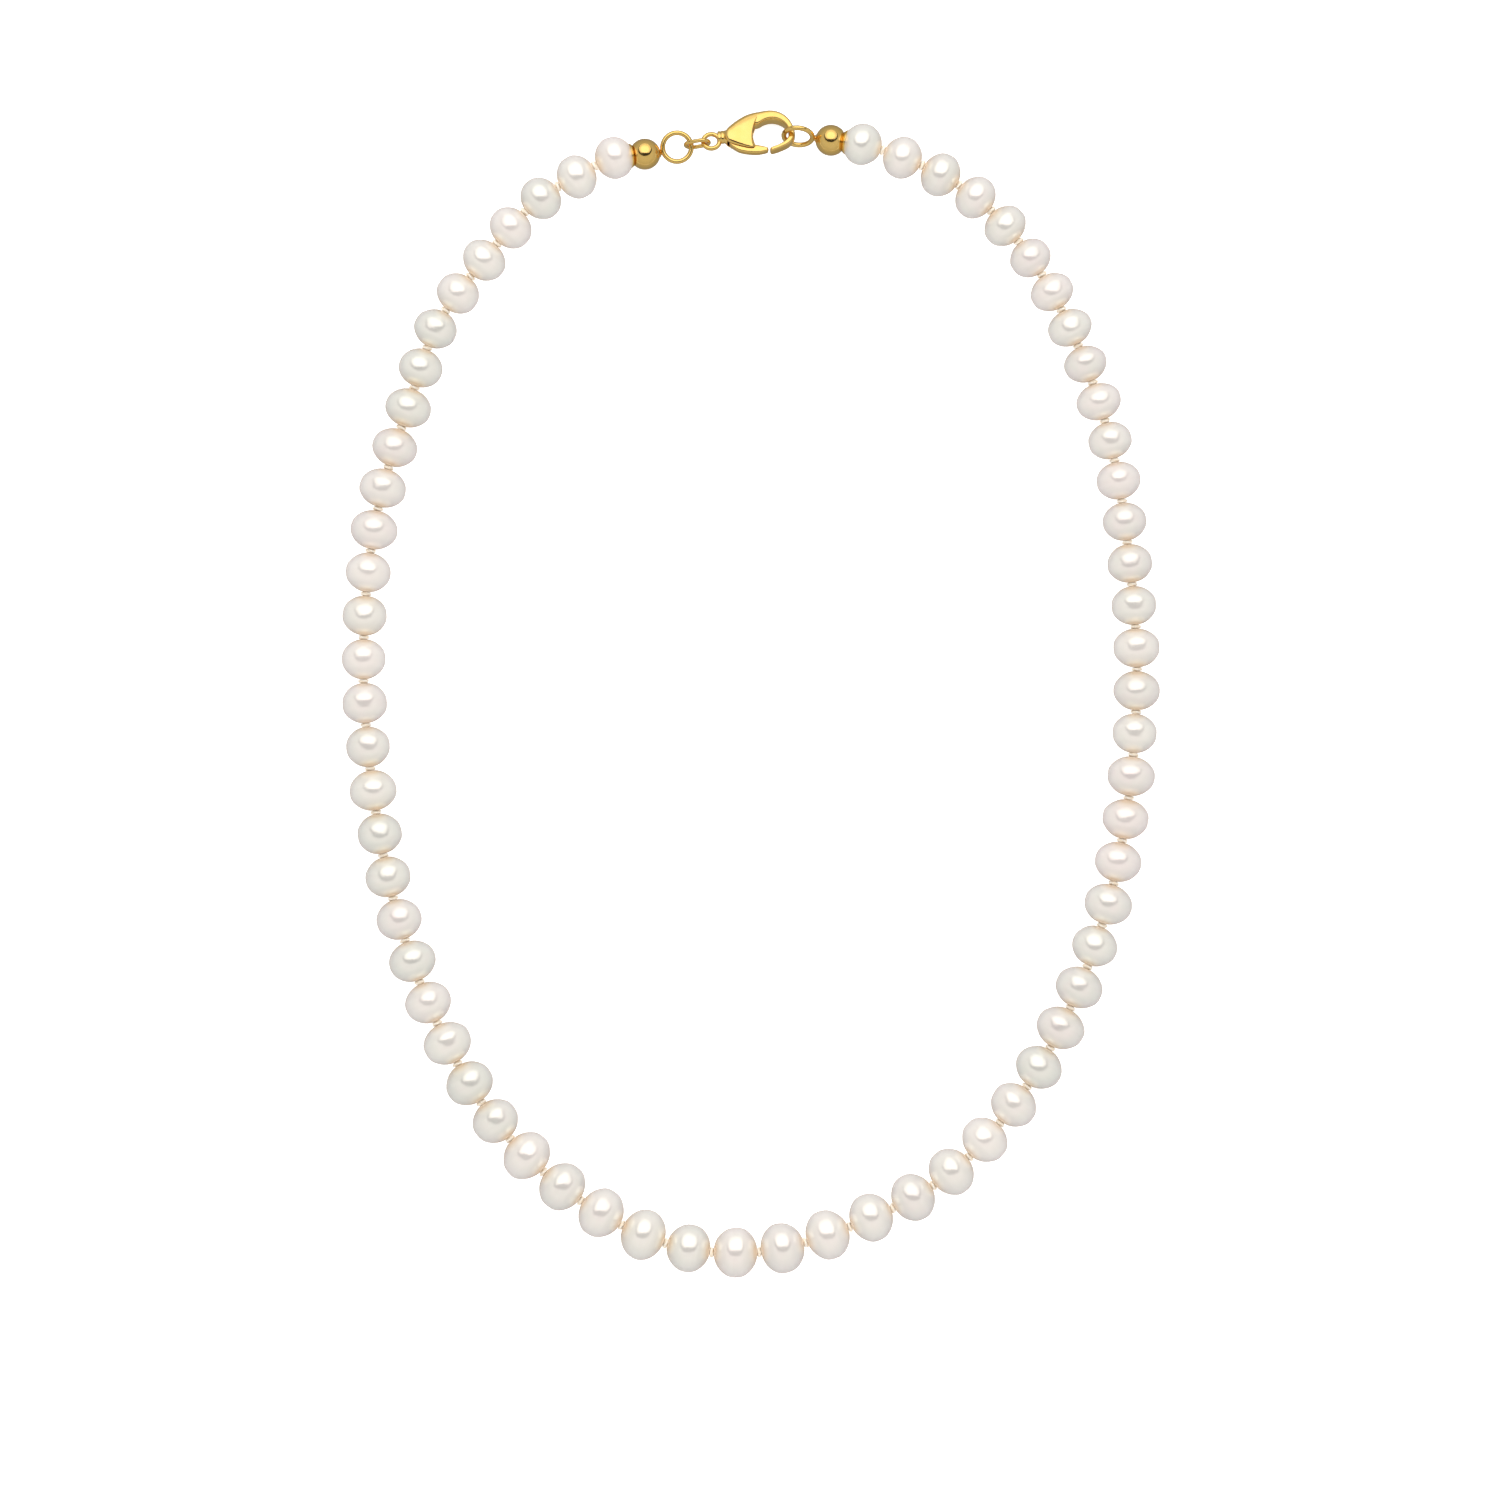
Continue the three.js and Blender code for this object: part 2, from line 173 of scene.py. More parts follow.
def through(points, at):
    """Points on the centripetal Catmull-Rom curve through the given ones, where at goes from 0 to 1
    and each given point is an equal step on.

    Between two points it is the cubic that starts and ends on them, with slopes from their own
    neighbours, each weighted by the square root of the distance. The ends are carried straight on.
    """
    given = np.asarray(points, float)
    all_points = np.vstack([2 * given[0] - given[1], given, 2 * given[-1] - given[-2]])
    root = np.sqrt(np.linalg.norm(np.diff(all_points, axis=0), axis=1))[:, None]
    place = np.asarray(at, float) * (len(given) - 1)
    span = np.minimum(place.astype(int), len(given) - 2)
    u = (place - span)[:, None]
    p0, p1, p2, p3 = (all_points[span + k] for k in range(4))
    before, along, after = (root[span + k] for k in range(3))
    leave = along * ((p1 - p0) / before - (p2 - p0) / (before + along) + (p2 - p1) / along)
    arrive = along * ((p2 - p1) / along - (p3 - p1) / (along + after) + (p3 - p2) / after)
    bend = -3 * p1 + 3 * p2 - 2 * leave - arrive
    twist = 2 * p1 - 2 * p2 + leave + arrive
    return p1 + leave * u + bend * u**2 + twist * u**3


def carried(path, radius, around, side_hint=UP, closed=False):
    """A round section carried along a path: at each point of the path, a circle in the plane across
    it, whose radius may change along the path and round the circle."""
    if closed:
        tangent = unit(np.roll(path, -1, axis=0) - np.roll(path, 1, axis=0))
    else:
        tangent = unit(np.gradient(path, axis=0))
    side = unit(np.cross(side_hint, tangent))
    over = np.cross(tangent, side)
    angle = np.linspace(0, 2 * np.pi, around, endpoint=False)
    radius = np.broadcast_to(radius, (len(path), around))[..., None]
    circle = side[:, None] * np.cos(angle)[:, None] + over[:, None] * np.sin(angle)[:, None]
    return path[:, None] + radius * circle


def turned(profile, start, aim, around, squash=1.0):
    """A profile of radius and distance, turned about the line from start towards aim. squash makes
    the section wider in the level direction."""
    axis = unit(aim - start)
    side = unit(np.cross(UP, axis))
    over = np.cross(axis, side)
    angle = np.linspace(0, 2 * np.pi, around, endpoint=False)
    circle = squash * side * np.cos(angle)[:, None] + over * np.sin(angle)[:, None]
    radius, distance = np.asarray(profile, float).T
    return start + distance[:, None, None] * axis + radius[:, None, None] * circle


def arc(radius, first, last, count):
    """Profile points, each a radius and a distance, on a circle about the start of the axis: the cosine
    and the sine of an angle from its equator, times its radius."""
    angle = np.linspace(first, last, count)
    return np.stack([radius * np.cos(angle), radius * np.sin(angle)], axis=1)


def ring_path(centre, across, along, radius):
    """A circle in the plane of the unit vectors across and along."""
    angle = np.linspace(0, 2 * np.pi, 96, endpoint=False)[:, None]
    return centre + radius * (across * np.cos(angle) + along * np.sin(angle))


def bar(outer, inner, front, back, squareness, rounding, middle=0.0, bow=0.0, stations=90, around=48):
    """A flat bar between two edge lines, closed at both ends.

    Both edges are walked together. Round each station an angle turns once: its cosine goes from the
    inner to the outer edge, and its sine from the back to the front height, both raised to
    2 / squareness, so that 2 gives an ellipse and more a rounded oblong. Within the rounding
    distance of an end, the section draws in like a quarter circle. bow hollows the far end.
    """
    walk = (1 - np.cos(np.linspace(0, np.pi, stations))) / 2
    outer, inner = through(outer, walk), through(inner, walk)
    centre, reach = (outer + inner) / 2, (outer - inner) / 2
    step = np.linalg.norm(np.diff(centre, axis=0), axis=1)
    from_start = np.concatenate([[0], np.cumsum(step)])
    from_end = np.minimum(from_start, from_start[-1] - from_start)
    depth = np.clip(1 - from_end / rounding, 0, 1)
    closing = np.sqrt(1 - depth**2)[:, None]
    half = np.linalg.norm(reach, axis=1, keepdims=True)
    reach = reach / half * np.maximum(half - rounding * (1 - closing), half * 0.1)
    angle = np.linspace(0, 2 * np.pi, around, endpoint=False)
    power = 2 / squareness
    across = np.sign(np.cos(angle)) * np.abs(np.cos(angle)) ** power
    rise = np.sign(np.sin(angle)) * np.abs(np.sin(angle)) ** power
    front = np.interp(walk, np.linspace(0, 1, np.size(front)), np.atleast_1d(front))[:, None]
    back = np.interp(walk, np.linspace(0, 1, np.size(back)), np.atleast_1d(back))[:, None]
    height = middle + closing * np.where(rise > 0, front * rise, back * rise)
    flat = centre[:, None] + reach[:, None] * across[:, None]
    forward = unit(np.gradient(centre, axis=0))
    hollow = bow * walk[:, None] ** 6 * (1 - across**2)
    flat = flat - forward[:, None] * hollow[..., None]
    return np.concatenate([flat, height[..., None]], axis=2)


def leaning(points):
    """From the clasp's own flat drawing to its place: leant about the line across the necklace, then
    moved to the middle of the clasp."""
    x, y, z = np.moveaxis(points, -1, 0)
    cos, sin = np.cos(CLASP_LEAN), np.sin(CLASP_LEAN)
    return np.stack([x, y * cos - z * sin, y * sin + z * cos], axis=-1) + CLASP_MIDDLE


# ---- pieces --------------------------------------------------------------------------------


def grid_faces(points, loop):
    """Faces between neighbouring rings of a grid of points, and a flat face over each end unless the
    rings close on themselves. They are turned over if they enclose a negative volume."""
    rows, columns = points.shape[:2]
    ring = np.arange(rows if loop else rows - 1)[:, None]
    column = np.arange(columns)[None, :]
    after, beside = (ring + 1) % rows, (column + 1) % columns
    quads = np.stack([ring * columns + column, ring * columns + beside,
                      after * columns + beside, after * columns + column], axis=-1).reshape(-1, 4)
    flat = points.reshape(-1, 3) - points.reshape(-1, 3).mean(axis=0)
    a, b, c, d = (flat[quads[:, k]] for k in range(4))
    volume = np.sum(a * np.cross(b, c)) + np.sum(a * np.cross(c, d))
    faces = quads.tolist()
    if not loop:
        faces += [np.arange(columns)[::-1].tolist(), (np.arange(columns) + (rows - 1) * columns).tolist()]
    return faces if volume > 0 else [face[::-1] for face in faces]


def add_piece(name, shells, finish, node, facts=None):
    """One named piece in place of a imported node: closed shells, each a grid of points with whether
    its rings close on themselves, and facts, one number for each point, that its finish reads."""
    points, faces, first = [], [], 0
    for grid, loop in shells:
        faces += [[first + k for k in face] for face in grid_faces(grid, loop)]
        points.append(grid.reshape(-1, 3) * MM)
        first += len(points[-1])
    mesh = bpy.data.meshes.new(name)
    mesh.from_pydata(np.vstack(points).tolist(), [], faces)
    mesh.polygons.foreach_set("use_smooth", [True] * len(faces))
    for fact, values in (facts or {}).items():
        mesh.attributes.new(fact, "FLOAT", "POINT").data.foreach_set("value", values.ravel())
    mesh.materials.append(finish)
    piece = bpy.data.objects.new(name, mesh)
    bpy.context.scene.collection.objects.link(piece)
    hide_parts(node)
    return piece


def on_node(piece, node):
    """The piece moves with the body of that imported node."""
    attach(piece, body_of(frame["nodes"][node])[0])
    return piece


# ---- finishes ------------------------------------------------------------------------------


class Reading:
    """A number that changes over a surface. Sums, differences and products of it add Math nodes."""

    def __init__(self, finish, socket):
        self.finish, self.socket = finish, socket

    def _maths(self, operation, first, second):
        return self.finish.node("ShaderNodeMath", {"operation": operation}, {0: first, 1: second})

    def __add__(self, other):
        return self._maths("ADD", self, other)

    def __radd__(self, other):
        return self._maths("ADD", other, self)

    def __sub__(self, other):
        return self._maths("SUBTRACT", self, other)

    def __rsub__(self, other):
        return self._maths("SUBTRACT", other, self)

    def __mul__(self, other):
        return self._maths("MULTIPLY", self, other)

    def __rmul__(self, other):
        return self._maths("MULTIPLY", other, self)


class Finish:
    """A finish put together from nodes, for a material or a world."""

    def __init__(self, owner):
        self.owner = owner
        owner.use_nodes = True
        self.tree = owner.node_tree
        self.tree.nodes.clear()

    def node(self, kind, settings=None, inputs=None, output=0):
        """Adds a node: its settings first, with a ramp's stops as (place, colour), then a value or a
        link for each socket named. Gives back the output asked for."""
        made = self.tree.nodes.new(kind)
        for setting, value in (settings or {}).items():
            if setting == "stops":
                elements = made.color_ramp.elements
                while len(elements) < len(value):
                    elements.new(1)
                for element, (place, colour) in zip(elements, value):
                    element.position, element.color = place, (*colour, 1)
            else:
                setattr(made, setting, value)
        for socket, value in (inputs or {}).items():
            if isinstance(value, Reading):
                self.tree.links.new(value.socket, made.inputs[socket])
            else:
                made.inputs[socket].default_value = value
        return Reading(self, made.outputs[output])

    def place(self, scale=(1, 1, 1)):
        """Where the surface is, in metres, stretched by scale."""
        where = self.node("ShaderNodeTexCoord", output="Object")
        return self.node("ShaderNodeMapping", {"vector_type": "POINT"}, {"Vector": where, "Scale": scale})

    def fact(self, name):
        """A number that the mesh holds for each point."""
        return self.node("ShaderNodeAttribute", {"attribute_name": name}, output="Fac")

    def noise(self, size, detail=2.0, stretch=(1, 1, 1)):
        """Noise from 0 to 1 whose patches are about size millimetres across."""
        return self.node("ShaderNodeTexNoise", {}, {
            "Vector": self.place(stretch), "Scale": 1 / (size * MM), "Detail": detail})

    def lines(self, along, size, detail=2.0):
        """Noise from 0 to 1 along one number in millimetres."""
        return self.node("ShaderNodeTexNoise", {"noise_dimensions": "1D"}, {
            "W": along, "Scale": 1 / size, "Detail": detail})

    def blend(self, share, first, second):
        """From the first colour to the second as share goes from 0 to 1."""
        first, second = (c if isinstance(c, Reading) else (*c, 1) for c in (first, second))
        return self.node("ShaderNodeMix", {"data_type": "RGBA"}, {0: share, 6: first, 7: second}, output=2)

    def relief(self, height, depth):
        """A bump of that depth in millimetres."""
        return self.node("ShaderNodeBump", {}, {"Height": height, "Distance": depth * MM})

    def done(self, **sockets):
        """Ends the finish in a Principled shader with these sockets, and gives back the material."""
        inputs = {name.replace("_", " "): value for name, value in sockets.items()}
        shader = self.node("ShaderNodeBsdfPrincipled", {}, inputs)
        return self.end("ShaderNodeOutputMaterial", shader)

    def end(self, kind, shader):
        """Links a shader to the output node, and gives back the material or the world."""
        self.tree.links.new(shader.socket, self.tree.nodes.new(kind).inputs["Surface"])
        return self.owner


def material(name):
    """A finish for a new material of that name."""
    return Finish(bpy.data.materials.new(name))


def nacre():
    """Freshwater nacre: cream white with a rose or green overtone, faint growth lines round the hole, and
    a soft lustre under a clear sharp one. Towards the drill holes, where the pearls face each other, a darker
    warm tint is painted in as shade and as a reflection of the neighbouring pearls."""
    f = material("nacre")
    growth, hole = f.fact("growth"), f.fact("near_hole")
    overtone, depth = f.fact("overtone"), f.fact("depth")
    clouds, orient = f.noise(2.6, 3), f.noise(1.9, 1)
    body = f.blend(overtone + orient * 1.2 - 0.6, (0.87, 0.765, 0.75), (0.805, 0.80, 0.735))
    body = f.blend(depth * 0.6 + clouds * 0.3, body, (0.93, 0.88, 0.82))
    body = f.blend(f.lines(growth, 0.7) * 0.2, body, (0.80, 0.69, 0.62))
    # Painted shade and painted reflection: darker and warmer towards the drill holes, where the pearls face
    # each other.
    body = f.blend(hole * (clouds * 0.6 + 0.55), body, (0.86, 0.64, 0.38))
    height = f.lines(growth, 0.3) * 0.2 + f.noise(0.35, 3) * 0.25 + clouds * 2
    return f.done(
        Base_Color=body, Metallic=0.36 + overtone * 0.08, Roughness=0.14 + clouds * 0.08,
        IOR=1.6, Coat_Weight=0.6 - hole * 0.3, Coat_Roughness=0.06, Coat_IOR=1.45,
        Sheen_Weight=0.35, Sheen_Roughness=0.35, Sheen_Tint=(1.0, 0.80, 0.62, 1.0),
        Thin_Film_Thickness=420.0, Thin_Film_IOR=1.4, Normal=f.relief(height, 0.012))


def silk():
    """Twisted silk: cream, with painted shade darkening the grooves between the plies, and fine fibres."""
    f = material("silk_thread")
    ply = f.fact("ply") * 0.5 + 0.5
    fibre = f.noise(0.06, 4)
    # Painted shade: the colour is darker in the grooves between the plies.
    colour = f.blend(ply * 0.75 + fibre * 0.25, (0.93, 0.81, 0.64), (0.99, 0.95, 0.88))
    return f.done(
        Base_Color=colour, Roughness=0.62 + fibre * 0.25, Sheen_Weight=0.35, Sheen_Roughness=0.4,
        Normal=f.relief(ply * 0.7 + fibre * 0.5, 0.05))


def polished_gold():
    """Polished yellow gold: a warm mirror with hairline wiping marks and slightly duller patches."""
    f = material("polished_gold")
    patches = f.noise(1.3, 3)
    hairlines = f.noise(0.5, 5, (1, 9, 3))
    colour = f.blend(patches, (0.87, 0.56, 0.14), (0.95, 0.65, 0.23))
    return f.done(
        Base_Color=colour, Metallic=1.0, Roughness=0.06 + patches * 0.08 + hairlines * 0.05,
        Normal=f.relief(hairlines * 0.5 + patches, 0.006))


def spring_steel():
    """Rolled spring steel: grey, with fine lines along the strip."""
    f = material("spring_steel")
    rolled = f.noise(0.3, 4, (1, 1, 12))
    colour = f.blend(rolled, (0.42, 0.43, 0.45), (0.62, 0.63, 0.65))
    return f.done(Base_Color=colour, Metallic=1.0, Roughness=0.25 + rolled * 0.2,
                  Normal=f.relief(rolled, 0.004))


def pale_table():
    """A white matt board that glows a little, as over a light box."""
    f = material("pale_table")
    mottle = f.noise(14, 3)
    return f.done(
        Base_Color=f.blend(mottle, (0.93, 0.93, 0.93), (0.96, 0.96, 0.96)), Roughness=0.9,
        Emission_Color=(1, 1, 1, 1), Emission_Strength=0.6)


NACRE, SILK, GOLD, STEEL = nacre(), silk(), polished_gold(), spring_steel()

# ---- the strand ----------------------------------------------------------------------------

gaps = PEARL_COUNT - 1
number = np.arange(PEARL_COUNT)
fine_route = through(SILK_ROUTE, np.linspace(0, 1, 4001))
run = np.concatenate([[0], np.cumsum(np.linalg.norm(np.diff(fine_route, axis=0), axis=1))])
spacing = np.interp((np.arange(gaps) + 0.5) / gaps, GRADING[:, 0], GRADING[:, 1])
spacing *= run[-1] / spacing.sum()
half_width = np.interp(number / gaps, GRADING[:, 0], GRADING[:, 2]) / 2
half_width += WIDTH_VARIATION * np.sin(2.4 * number**2)
half_length = np.minimum(np.append(spacing[0], spacing), np.append(spacing, spacing[-1])) / 2
half_length -= KNOT_GAP / 2
distance = np.append(0, np.cumsum(spacing))
centre = np.stack([np.interp(distance, run, fine_route[:, 0]), np.interp(distance, run, fine_route[:, 1]),
                   half_width], axis=1) + ORIGIN_SHIFT
strung = np.vstack([LEFT_BALL, centre, RIGHT_BALL])
silk_way = unit(strung[2:] - strung[:-2])

groups = ([[1]] + [[n, n + 1] for n in range(2, LOWEST - 1, 2)] + [[LOWEST - 1]]
          + [[n, n + 1] for n in range(LOWEST, PEARL_COUNT, 2)] + [[PEARL_COUNT]])
node_of = {n: ("pearls_" if len(group) > 1 else "pearl_") + "_".join(f"{k:02d}" for k in group)
           for group in groups for n in group}


def pearl_shell(i):
    """A pearl with its drill hole, and the facts that nacre reads.

    An angle goes from hole to hole over the outside: the radius about the silk is the half width
    times its sine, the distance along the silk the half length times its cosine. Both are scaled by
    one plus a sum of slow waves in a few directions, and the radius also by an egg, an oval and a
    banded term, all small and different for each pearl. The skin then goes back through the hole.
    """
    luck = np.random.default_rng(100 + i)
    mouth = np.arcsin(HOLE_FLARE * HOLE_RADIUS / half_width[i])
    polar = np.linspace(mouth, np.pi - mouth, PEARL_ROWS)[:, None]
    turn = np.linspace(0, 2 * np.pi, PEARL_COLUMNS, endpoint=False)[None, :]
    way = np.stack(np.broadcast_arrays(
        np.sin(polar) * np.cos(turn), np.sin(polar) * np.sin(turn), np.cos(polar)), -1)
    waves = unit(luck.normal(size=(5, 3))) * luck.uniform(2.0, 6.5, (5, 1))
    phase, swing = luck.uniform(0, 6.28, 5), luck.uniform(0.002, 0.006, 5)
    wobble = (np.sin(way @ waves.T + phase) * swing).sum(axis=-1)
    egg = luck.uniform(-0.03, 0.03) * np.cos(polar)
    oval = luck.uniform(0, 0.016) * np.cos(2 * turn + luck.uniform(0, 6.28))
    bands = -luck.uniform(0.003, 0.01) * np.cos(8 * polar + luck.normal(0, 0.4))
    size = 1 + wobble + (egg + oval + bands) * np.sin(polar)
    radius = half_width[i] * np.sin(polar) * size
    along = -half_length[i] * np.cos(polar) * (1 + wobble * np.sin(polar))
    edge = half_length[i] * np.cos(mouth)
    hole_way = np.array([edge - LINED[0], edge - LINED[1], LINED[1] - edge, LINED[0] - edge])[:, None]
    lining = np.ones((len(hole_way), PEARL_COLUMNS))
    radius = np.vstack([radius, HOLE_RADIUS * lining])
    along = np.vstack([along, hole_way * lining])
    side = unit(np.cross(UP, silk_way[i]))
    over = np.cross(silk_way[i], side)
    points = (centre[i] + along[..., None] * silk_way[i]
              + (radius * np.cos(turn))[..., None] * side + (radius * np.sin(turn))[..., None] * over)
    from_hole = np.minimum(polar, np.pi - polar) * np.ones_like(turn)
    near_hole = np.vstack([np.exp(-(from_hole / luck.uniform(0.4, 0.65)) ** 2), lining])
    facts = {
        "near_hole": near_hole,
        "growth": along * (1 + 0.1 * np.sin(turn)) + 37.0 * i,
        "overtone": np.full_like(along, luck.uniform(0, 1)),
        "depth": np.full_like(along, luck.uniform(0, 1)),
    }
    return points, facts


def knot_shell(i):
    """The silk from one pearl's hole into the next, and its ply pattern.

    The path is a cubic that leaves along one pearl's silk and arrives along the other's. The radius
    is the thread's, plus a bulge that falls off with the fourth power of the distance from the middle
    of the gap. The plies wind round it as a cosine of their number times the turn, plus the way along.
    """
    start = centre[i] + silk_way[i] * half_length[i]
    end = centre[i + 1] - silk_way[i + 1] * half_length[i + 1]
    gap = np.linalg.norm(end - start)
    first, last = start - silk_way[i] * SILK_IN_HOLE, end + silk_way[i + 1] * SILK_IN_HOLE
    u = np.linspace(0, 1, 41)[:, None]
    slope = np.linalg.norm(last - first)
    path = ((2 * u**3 - 3 * u**2 + 1) * first + (u**3 - 2 * u**2 + u) * slope * silk_way[i]
            + (3 * u**2 - 2 * u**3) * last + (u**3 - u**2) * slope * silk_way[i + 1])
    away = (u - 0.5) * slope
    bulge = (KNOT_RADIUS - THREAD_RADIUS) * np.exp(-((away / (0.5 * gap + 0.03)) ** 4))
    turn = np.linspace(0, 2 * np.pi, 24, endpoint=False)[None, :]
    ply = np.cos(PLIES * turn + 9 * away + 2.0 * i)
    radius = (THREAD_RADIUS + bulge) * (0.93 + 0.07 * ply)
    return carried(path, radius, 24), {"ply": ply}, start, end


for i in range(PEARL_COUNT):
    grid, facts = pearl_shell(i)
    node = node_of[i + 1]
    on_node(add_piece(f"pearl_{i + 1:02d}_nacre", [(grid, True)], NACRE, node, facts), node)

for i in range(gaps):
    grid, facts, start, end = knot_shell(i)
    # The knot is tied against the pearl on its clasp side.
    node = node_of[i + 1] if i + 1 < LOWEST else node_of[i + 2]
    piece = add_piece(f"knot_{i + 1:02d}_silk", [(grid, False)], SILK, node, facts)
    bodies = [body_of(frame["nodes"][node_of[n]])[0] for n in (i + 1, i + 2)]
    if bodies[0] == bodies[1]:
        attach(piece, bodies[0])
    else:
        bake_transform(piece, *bodies, start=tuple(start * MM), end=tuple(end * MM))


# ---- the end balls -------------------------------------------------------------------------


def gold_piece(name, shells, node):
    """A piece of polished gold in place of a node, which moves with the node's body."""
    return on_node(add_piece(name, shells, GOLD, node), node)


def add_end(side, ball, i):
    """A hollow gold ball with its open mouth towards the pearl, the flared cup that the pearl nests
    in, and the knot of silk that ends the strand inside the ball."""
    pearl = centre[i]
    away = 2 * ball - pearl
    inner = BALL_RADIUS - BALL_WALL
    mouth = np.arcsin(-BALL_CUT / BALL_RADIUS)
    wall = np.vstack([
        arc(BALL_RADIUS, mouth + 0.05, np.pi / 2 - 0.004, 40),
        arc(inner, np.pi / 2 - 0.004, np.arcsin(-BALL_CUT / inner), 24),
    ])
    gold_piece(f"{side}_ball_shell", [(turned(wall, ball, away, 72), True)], f"{side}_end_ball")

    face = np.linalg.norm(pearl - ball) - half_length[i]  # from the ball's centre to the pearl

    def sag(radius):
        """How far an ellipse's curve falls back from its tip at that radius."""
        return half_length[i] * (1 - np.sqrt(1 - (radius / half_width[i]) ** 2))

    # From the throat out over the back, along the waist to the rim, and back in over the pearl.
    rim, lip, throat = 1.78, 0.13, 0.62
    back = -BALL_CUT + 0.12
    cup = np.array([
        (throat, back), (1.3, back), (1.38, back - 0.12), (1.36, back - 0.25), (1.5, -face - 0.02),
        (rim - 0.04, -face - sag(rim) + 0.2), (rim + 0.02, -face - sag(rim) + 0.06),
        (rim - 0.03, -face - sag(rim) - 0.02), (rim - lip, -face - sag(rim) + 0.1),
        (1.1, -face - sag(1.1) + 0.16), (throat, -face + 0.16),
    ])
    gold_piece(f"{side}_cup_flared", [(turned(cup, ball, away, 72), True)], f"{side}_end_cup")

    # The silk's end knot is a ball a little beyond the gold ball's centre, on a tail from the pearl.
    knot_way = np.linspace(-face - 0.7, END_KNOT_RADIUS + 0.1, 40)
    from_middle = (knot_way - 0.1) / END_KNOT_RADIUS
    ball_of_silk = END_KNOT_RADIUS * np.sqrt(np.clip(1 - from_middle**2, 0.001, 1))
    radius = np.maximum(ball_of_silk, np.where(knot_way < 0, THREAD_RADIUS, 0.02))
    path = ball + knot_way[:, None] * unit(away - ball)
    turn = np.linspace(0, 2 * np.pi, 24, endpoint=False)[None, :]
    ply = np.cos(PLIES * turn + 6 * knot_way[:, None])
    grid = carried(path, radius[:, None] * (0.94 + 0.06 * ply), 24)
    node = f"{side}_silk_end"
    on_node(add_piece(f"{side}_silk_tail", [(grid, False)], SILK, node, {"ply": ply}), node)


add_end("left", LEFT_BALL, 0)
add_end("right", RIGHT_BALL, PEARL_COUNT - 1)

# ---- rings and link ------------------------------------------------------------------------


def solder(pole, ring_side):
    """The fillet that joins a ring to its ball: a foot on the ball that narrows into the wire with the
    power 2.5 of the distance."""
    waist, foot, half = 0.35, 0.85, 0.32
    u = np.linspace(0, 1, 13)
    radius = waist + (foot - waist) * (1 - u) ** 2.5
    radius[[0, -1]] *= 0.3
    return turned(np.stack([radius, (2 * u - 1) * half], axis=1), pole, ring_side, 32), False


left_pole = LEFT_BALL + unit(LEFT_BALL - centre[0]) * (BALL_RADIUS + SOLDER_GAP)
right_pole = RIGHT_BALL + unit(RIGHT_BALL - centre[-1]) * (BALL_RADIUS + SOLDER_GAP)

# The left ring lies level, soldered to its ball.
ring_reach = RING_RADIUS + RING_WIRE
left_ring = left_pole * (1, 1, 0) + UP * LEFT_BALL[2] + unit(np.array([1, 0.3, 0])) * ring_reach
X, Y = np.eye(3)[:2]
wire = carried(ring_path(left_ring, X, Y, RING_RADIUS), RING_WIRE, 28, closed=True)
gold_piece("left_ring_wire", [(wire, True), solder(left_pole, left_ring)], "left_end_ring")

# The right ring is soldered to its ball too, hangs round the hook and leans over.
right_along = unit((HOOK_BAR - right_pole) * (1, 1, 0))
right_level = np.cross(UP, right_along)
right_lean = UP * np.sin(RIGHT_RING_TILT) - right_level * np.cos(RIGHT_RING_TILT)
right_ring = right_pole * (1, 1, 0) + UP * HOOK_BAR[2] + right_along * ring_reach
wire = carried(ring_path(right_ring, right_along, right_lean, RING_RADIUS), RING_WIRE, 28,
               side_hint=np.cross(right_along, right_lean), closed=True)
gold_piece("right_ring_wire", [(wire, True), solder(right_pole, right_ring)], "right_end_ring")

# The link stands nearly on edge between the left ring and the eye of the clasp.
eye = leaning(EYE)
to_eye = unit((eye - left_ring) * (1, 1, 0))
ring_side = left_ring + to_eye * RING_RADIUS
eye_side = eye - to_eye * EYE_RADIUS
link_along = unit(eye_side - ring_side)
link_first = ring_side - link_along * (RING_WIRE + LINK_WIRE + LINK_PLAY)
link_last = eye_side + link_along * (EYE_WIRE + LINK_WIRE + LINK_PLAY)
link_level = unit(np.cross(UP, link_along))
link_up = np.cross(link_along, link_level) * np.cos(LINK_ROLL) - link_level * np.sin(LINK_ROLL)
straight = np.linalg.norm(link_last - link_first) / 2 - LINK_END_RADIUS
angle = np.linspace(0, 2 * np.pi, 80, endpoint=False)[:, None]
# An oval: a circle whose two halves are pulled apart, blended over a short stretch.
pulled = np.tanh(6 * np.cos(angle)) * straight
link_path = ((link_first + link_last) / 2 + link_along * (LINK_END_RADIUS * np.cos(angle) + pulled)
             + link_up * LINK_END_RADIUS * np.sin(angle))
wire = carried(link_path, LINK_WIRE * DRAWN, 24, side_hint=np.cross(link_along, link_up), closed=True)
gold_piece("link_wire", [(wire, True)], "connector_link")

# ---- the lobster clasp ---------------------------------------------------------------------

# The spine and the hook in one: the outer and the inner edge from the neck over the top to the tip.
HOOK_OUTER = [
    (-3.9, 0.5), (-2.9, 1.5), (-1.6, 2.62), (-0.5, 3.4), (0.7, 3.88), (1.6, 4.1), (2.6, 4.25),
    (3.6, 4.2), (4.6, 3.85), (5.5, 3.2), (6.15, 2.35), (6.6, 1.3), (6.75, 0.3), (6.5, -0.6),
    (5.85, -1.35), (4.9, -1.9), (4, -2.3), (3.08, -2.58),
]
HOOK_INNER = [
    (-3.9, -0.3), (-2.95, 0.25), (-1.5, 1.5), (-0.3, 2.2), (0.6, 1.75), (1.25, 1.8), (2.1, 2.35),
    (3.1, 2.65), (4.05, 2.55), (4.9, 2.1), (5.5, 1.4), (5.77, 0.6), (5.7, -0.1), (5.3, -0.7),
    (4.75, -1.15), (4.1, -1.5), (3.55, -1.7), (3, -1.95),
]
HOOK_HALF = [0.7, 0.9, 1.0, 1.05, 1.1, 1.15, 1.1, 1.0, 0.95, 0.92, 0.88, 0.8]

